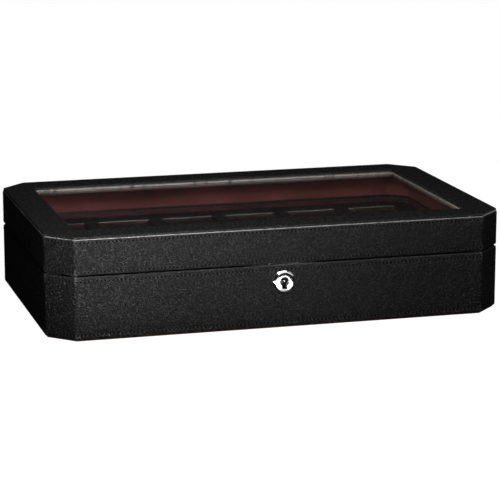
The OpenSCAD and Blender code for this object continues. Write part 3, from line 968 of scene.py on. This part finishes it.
def card(name):
    """Black card with a faint fibre."""
    s = Surface(name)
    fibres = s.noise(1100, 4.0, 0.7, s.stretch((1, 0.4, 1)))
    tone = s.blend(s.remap(fibres, *MIDDLE), grey(0.006), grey(0.013))
    return s.finish(tone, s.remap(fibres, *MIDDLE, 0.7, 0.85), s.bump(fibres, 0.04 * MM))


# How a metal's scratches are squeezed across the way they run
ALONG_X, ALONG_XY, ALONG_YZ = (1, 14, 14), (1, 1, 14), (14, 1, 1)


def metal(name, dark, light, rough, scratch, run=ALONG_XY):
    """Plated or polished metal: fine scratches one way, cloudy patches and dull marks."""
    s = Surface(name, Metallic=1.0)
    clouds = s.noise(160, 3.0)
    lines = s.noise(420, 3.0, 0.6, s.stretch(run))
    tone = s.blend(s.remap(clouds, *MIDDLE), dark, light)
    dull = s.math("ADD", s.remap(clouds, *CLOUDY, *rough), s.remap(lines, 0.45, 0.7, 0.0, 0.07))
    return s.finish(tone, dull, s.bump(lines, scratch))


def thread(name):
    """Twisted waxed thread."""
    s = Surface(name, IOR=1.5)
    twist = s.noise(1500, 2.0, 0.5, s.stretch((1, 1, 0.25)))
    fuzz = s.noise(5200, 2.0)
    tone = s.blend(s.remap(twist, *MIDDLE), grey(0.010), grey(0.028))
    relief = s.bump(fuzz, 0.02 * MM, s.bump(twist, 0.08 * MM))
    return s.finish(tone, s.remap(fuzz, *WIDE, 0.34, 0.46), relief)


def needle_hole_shade(name):
    """Near-black paint that stands in for the shade inside a needle hole in leather."""
    s = Surface(name, Specular_IOR_Level=0.05)
    torn = s.noise(4000, 2.0)
    return s.finish(s.blend(torn, grey(0.0004), grey(0.0015)), s.remap(torn, *WIDE, 0.85, 1.0))


def clear_glass(name):
    """Float glass, with the faint unevenness of a wiped pane."""
    s = Surface(name, IOR=1.46, Transmission_Weight=1.0)
    smear = s.noise(14, 4.0, 0.6, s.stretch((1, 3, 1)))
    tone = s.blend(s.remap(smear, *MIDDLE), (0.93, 0.95, 0.94, 1), (0.97, 0.98, 0.975, 1))
    return s.finish(tone, s.remap(smear, 0.35, 0.8, 0.0, 0.02))


# Each leather's edge grey is the painted highlight on its edges; the tray's is on its long upper edges only
SMOOTH = {"grain": 900, "depth": 0.04 * MM, "dark": 0.003, "light": 0.005, "rough": (0.38, 0.48)}
BLACK_LEATHER = leather("black_pebbled_leather", grain=740, depth=0.15 * MM, dark=0.003, light=0.006,
                        rough=(0.24, 0.30))
SOFT_LEATHER = leather("black_soft_leather", edge=0.15, **SMOOTH)
TRAY_LEATHER = leather("tray_leather", edge=0.16, lined=True, **SMOOTH)
CUSHION_LEATHER = leather("cushion_leather", grain=760, depth=0.05 * MM, dark=0.003, light=0.005,
                          rough=(0.34, 0.44), edge=0.02)
WINE_SUEDE = suede("wine_suede", (0.13, 0.036, 0.032, 1), (0.21, 0.060, 0.053, 1))
# A darker copy of the wine suede: painted shade for the base's inner wall, rails, pocket floor and the glass
# retainer
SHADED_WINE_SUEDE = suede("wine_suede_painted_shade", (0.050, 0.012, 0.014, 1), (0.085, 0.022, 0.022, 1))
WINE_FELT = suede("wine_felt", (0.09, 0.018, 0.022, 1), (0.15, 0.032, 0.036, 1), nap=1.8)
BARE_BOARD = fibreboard("bare_fibreboard", (0.19, 0.115, 0.06, 1), (0.36, 0.25, 0.145, 1))
STAINED_BOARD = fibreboard("stained_fibreboard", grey(0.004), grey(0.012))
BLACK_CARD = card("black_card")
CHROME = metal("polished_chrome", grey(0.78), grey(0.86), (0.05, 0.10), 0.002 * MM)
PLATED_STEEL = metal("plated_steel", grey(0.34), grey(0.46), (0.30, 0.42), 0.012 * MM, ALONG_YZ)
# Steel darkened as painted shade, for the lock's inside seen through the keyhole
KEYHOLE_SHADE_STEEL = metal("steel_painted_keyhole_shade", grey(0.10), grey(0.18), (0.28, 0.40), 0.012 * MM)
HINGE_STEEL = metal("hinge_steel", grey(0.50), grey(0.62), (0.16, 0.28), 0.010 * MM, ALONG_X)
LOCK_BRASS = metal("lock_brass", (0.62, 0.43, 0.16, 1), (0.76, 0.55, 0.24, 1), (0.24, 0.36), 0.014 * MM)
THREAD = thread("waxed_thread")
NEEDLE_HOLE_SHADE = needle_hole_shade("needle_hole_shade")
GLASS = clear_glass("clear_glass")


def dress(obj, material):
    """Gives an object that material alone."""
    obj.data.materials.clear()
    obj.data.materials.append(material)
    return obj


def piece(obj, body, slot, material, *replaced):
    """Finishes a piece: its material, the body it rides on and the CAD nodes that it stands for, which it
    hides. slot is not used.
    """
    dress(obj, material)
    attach(obj, body)
    if replaced:
        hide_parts(*replaced)
    return obj


# ---- The pieces ----

for node, cover, piping in cushions():
    piece(cover, node, "cushion_cover", CUSHION_LEATHER, node)
    piece(piping, node, "cushion_cover", CUSHION_LEATHER)

OVER = 1 * MM
LEAF_FIT = 0.1 * MM
SIDES = ("left", "right")


def seat_cutters(strip, body, z0, z1):
    """Cutters for the metal let into a body's rim: a strip for the lock in front, the hinge leaves behind."""
    low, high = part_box(strip)
    cutters = [block((low.x, low.y, z0), (high.x, high.y + OVER, z1))]
    for side in SIDES:
        low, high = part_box(f"hinge_{body}_leaf_{side}")
        cutters.append(block((low.x - LEAF_FIT, low.y - OVER, z0), (high.x + LEAF_FIT, HALF_D + OVER, z1)))
    return cutters


base = base_wrap()
base_cutters = seat_cutters("lock_face_plate", "base", BASE_HIGH.z - FLANGE_T, BASE_HIGH.z + OVER)
base_cutters.append(prism(keyhole_outline(), -HALF_D - OVER, -HALF_D + LEATHER_T + OVER))
piece(carve(base, base_cutters), "base", "black_leather", BLACK_LEATHER, "base_leather_wrap")

lid = lid_wrap()
lid_cutters = seat_cutters("link_plate", "lid", LID_LOW.z - OVER, LID_LOW.z + FLANGE_T)
piece(carve(lid, lid_cutters), "lid", "black_leather", BLACK_LEATHER, "lid_leather_wrap")
piece(top_wrap(), "lid", "black_leather", BLACK_LEATHER, "top_frame_leather")

for body, seams in (("base", BASE_SEAMS), ("lid", LID_SEAMS)):
    for level, z in zip(("upper", "lower"), seams):
        row = stitch_row(f"{body}_{level}_stitches", z, len(body) + int(z / MM))
        piece(row, body, "black_leather", THREAD)
        piece(hole_shade_row(f"{body}_{level}_needle_holes", z), body, "black_leather", NEEDLE_HOLE_SHADE)

BINDING_R = 1.15 * MM
BINDING_PROUD = 0.35 * MM
BINDING_TURN = 2.6 * MM
BINDING_HEM = 0.3 * MM
BINDING_HEM_R = 0.1 * MM
BINDING_SHELF = 0.5 * MM
TRAY_BEVEL = 1.6 * MM
LINING_BEVEL = 0.8 * MM
METAL_BEVEL = 0.12 * MM
BOLT_BEVEL = 0.1 * MM


def binding():
    """The leather folded over the inner wall's top edge."""
    outer, inner = BASE_WALL, LINER + BINDING_PROUD
    top, seat = BINDING_HIGH.z, BASE_HIGH.z
    hem = top - BINDING_TURN
    profile = [(inner - BINDING_PROUD, hem), (inner - BINDING_HEM_R, hem + BINDING_HEM_R / 2)]
    profile += [(inner, hem + BINDING_HEM)]
    profile += quarter((inner, top - BINDING_R), (inner - BINDING_R, top), (inner, top))
    profile += quarter((outer + BINDING_R, top), (outer, top - BINDING_R), (outer, top))
    shelf = outer + BINDING_SHELF
    profile += [(outer, seat), (shelf, seat), (shelf, BINDING_LOW.z), (LINER, BINDING_LOW.z)]
    return skin("inner_wall_edge", [(octagon_loop(inset), z) for inset, z in profile])


piece(binding(), "base", "black_leather", SOFT_LEATHER, "inner_wall_binding")
piece(softened("tray_top", "tray_cover", TRAY_BEVEL, 4), "base", "tray_cover", TRAY_LEATHER, "tray_top")
# The retainer takes the wine suede's painted-shade copy
piece(softened("glass_retainer", "window_lining", LINING_BEVEL, 3), "lid", "wine_lining", SHADED_WINE_SUEDE,
      "glass_retainer")
piece(escutcheon(), "base", "chrome", CHROME, "lock_escutcheon")

metal_parts = [("lock_face_plate", "base", "plated_steel", PLATED_STEEL, METAL_BEVEL),
               ("link_plate", "lid", "plated_steel", PLATED_STEEL, METAL_BEVEL),
               ("lock_bolt", "bolt", "lock_brass", LOCK_BRASS, BOLT_BEVEL)]
metal_parts += [(f"hinge_{body}_leaf_{side}", body, "hinge_steel", HINGE_STEEL, METAL_BEVEL)
                for body in ("base", "lid") for side in SIDES]
for node, body, slot, material, bevel in metal_parts:
    piece(softened(node, f"{node}_finished", bevel), body, slot, material, node)

# The CAD meshes that show as they are
KEPT = {
    BARE_BOARD: ("base_front_board", "base_back_board", "base_left_board", "base_right_board",
                 "base_corner_boards", "bottom_board"),
    STAINED_BOARD: ("lid_front_board", "lid_back_board", "lid_left_board", "lid_right_board",
                    "lid_corner_boards", "top_frame_board"),
    WINE_SUEDE: ("lid_lining",),
    SHADED_WINE_SUEDE: ("inner_wall", "tray_front_rail", "tray_middle_rail", "tray_back_rail", "tray_left_rail",
                 "tray_right_rail", "tray_dividers", "pocket_floor"),
    WINE_FELT: ("bottom_felt",),
    BLACK_CARD: ("glass_spacer",),
    GLASS: ("glass_pane",),
    KEYHOLE_SHADE_STEEL: ("lock_case", "lock_back_plate"),
    CHROME: ("lock_post", "lock_spring"),
    HINGE_STEEL: ("hinge_pin_left", "hinge_pin_right", "hinge_base_screws", "hinge_lid_screws",
                  "lock_screws", "link_plate_screws"),
}
for material, names in KEPT.items():
    for name in names:
        dress(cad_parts[name], material)
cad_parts["glass_pane"].visible_shadow = False


# ---- Floor, light and camera ----

def backdrop_only(obj):
    """Hides a surface from the light that falls on the box: it is left out of diffuse, glossy and shadow
    rays.
    """
    for ray in ("visible_diffuse", "visible_glossy", "visible_shadow"):
        setattr(obj, ray, False)
    return obj


WHITE = (1, 1, 1, 1)


def pale(name, glow, albedo):
    """A pale, even surface that glows where it is seen directly or through glass, but lights nothing."""
    s = Surface(name, Roughness=0.9, Emission_Color=WHITE, Specular_IOR_Level=0.0)
    path = s.node("ShaderNodeLightPath")
    bounces = s.math("ADD", path.outputs["Diffuse Depth"], path.outputs["Glossy Depth"])
    s.link(s.math("MULTIPLY", s.math("LESS_THAN", bounces, 0.5), glow), s.shader.inputs["Emission Strength"])
    tone = s.blend(s.noise(3, 2.0), grey(albedo * 0.98), grey(albedo))
    s.link(tone, s.shader.inputs["Base Color"])
    return s.material


FLOOR_HALF = 7.0
FLOOR_DROP = 0.05 * MM
DOME_R = 9.0
DOME_SEGMENTS = 48

corners = [(x * FLOOR_HALF, y * FLOOR_HALF, -FLOOR_DROP) for x, y in ((-1, -1), (1, -1), (1, 1), (-1, 1))]
floor = smooth_object("floor", corners, [(0, 1, 2, 3)])
dress(backdrop_only(floor), pale("floor_paint", glow=0.99, albedo=0.08))

dome_mesh = bmesh.new()
bmesh.ops.create_uvsphere(dome_mesh, u_segments=DOME_SEGMENTS, v_segments=DOME_SEGMENTS // 2, radius=DOME_R)
dome_data = bpy.data.meshes.new("backdrop")
dome_mesh.to_mesh(dome_data)
dome_mesh.free()
dome = bpy.data.objects.new("backdrop", dome_data)
bpy.context.scene.collection.objects.link(dome)
dress(backdrop_only(dome), pale("backdrop_paint", glow=1.05, albedo=0.2))

BOX_MIDDLE = (0, 0, 0.05)
CARD_DROP = 10 * MM


def softbox(name, azimuth, elevation, distance, width, height, radiance, aim=BOX_MIDDLE):
    """A rectangular light. Azimuth runs from the front towards the left, elevation from the floor up."""
    a, e = math.radians(azimuth), math.radians(elevation)
    way = Vector((-math.sin(a) * math.cos(e), -math.cos(a) * math.cos(e), math.sin(e)))
    data = bpy.data.lights.new(name, "AREA")
    data.shape = "RECTANGLE"
    data.size, data.size_y = width, height
    data.energy = radiance * math.pi * width * height
    lamp = bpy.data.objects.new(name, data)
    bpy.context.scene.collection.objects.link(lamp)
    lamp.location = Vector(aim) + way * distance
    lamp.rotation_euler = (-way).to_track_quat("-Z", "Y").to_euler()
    lamp.visible_camera = False
    return lamp


def floor_card(name, low, high, radiance):
    """A glowing card lying at floor level, between two corners of its plan."""
    width, depth = high[0] - low[0], high[1] - low[1]
    lamp = softbox(name, 0, 0, 0, width, depth, radiance)
    lamp.location = ((low[0] + high[0]) / 2, (low[1] + high[1]) / 2, -CARD_DROP)
    lamp.rotation_euler = (math.pi, 0, 0)
    return lamp


# Azimuth and elevation in degrees, then distance, width, height, radiance and sometimes an aim
softbox("main", -30, 66, 2.0, 1.2, 0.9, 2.2)
softbox("near_main", -20, 55, 0.41, 0.2, 0.14, 28.0, (-0.215, -0.10, 0.085))
softbox("front_panel", -26, 28, 1.2, 1.7, 0.75, 1.1)
softbox("left_card", 85, 12, 2.4, 1.0, 0.8, 0.5)
softbox("right_card", -85, 20, 2.4, 0.7, 0.9, 0.5)
softbox("back_light", 205, 62, 2.4, 1.2, 0.6, 1.2)
# Two corners of the plan and a radiance
floor_card("floor_card", (-0.35, -0.42), (-0.05, -0.24), 11.0)
floor_card("lock_card", (-0.02, -0.42), (0.085, -0.22), 3.0)
floor_card("plate_card", (-0.01, -0.21), (0.06, -0.14), 0.3)
floor_card("rear_card", (0.02, 0.24), (0.30, 0.44), 4.0)

WORLD_GLOW = 0.008

world = bpy.data.worlds.new("studio")
world.use_nodes = True
world.node_tree.nodes["Background"].inputs["Color"].default_value = WHITE
world.node_tree.nodes["Background"].inputs["Strength"].default_value = WORLD_GLOW
bpy.context.scene.world = world
bpy.context.scene.view_settings.view_transform = "Standard"

CAMERA_PLACE = (-0.5091, -1.8363, 0.4681)
CAMERA_YAW = 15.65
CAMERA_PITCH = 12.66
CAMERA_ROLL = 0.01
LENS = 157.15
SENSOR_WIDTH = 36
CLIP_START = 0.05

lens = bpy.data.cameras.new("camera")
lens.lens = LENS
lens.sensor_width = SENSOR_WIDTH
lens.clip_start = CLIP_START
camera = bpy.data.objects.new("camera", lens)
bpy.context.scene.collection.objects.link(camera)
camera.location = CAMERA_PLACE
camera.rotation_euler = (
    Matrix.Rotation(math.radians(-CAMERA_YAW), 3, "Z")
    @ Matrix.Rotation(math.radians(90 - CAMERA_PITCH), 3, "X")
    @ Matrix.Rotation(math.radians(CAMERA_ROLL), 3, "Z")).to_euler()
bpy.context.scene.camera = camera
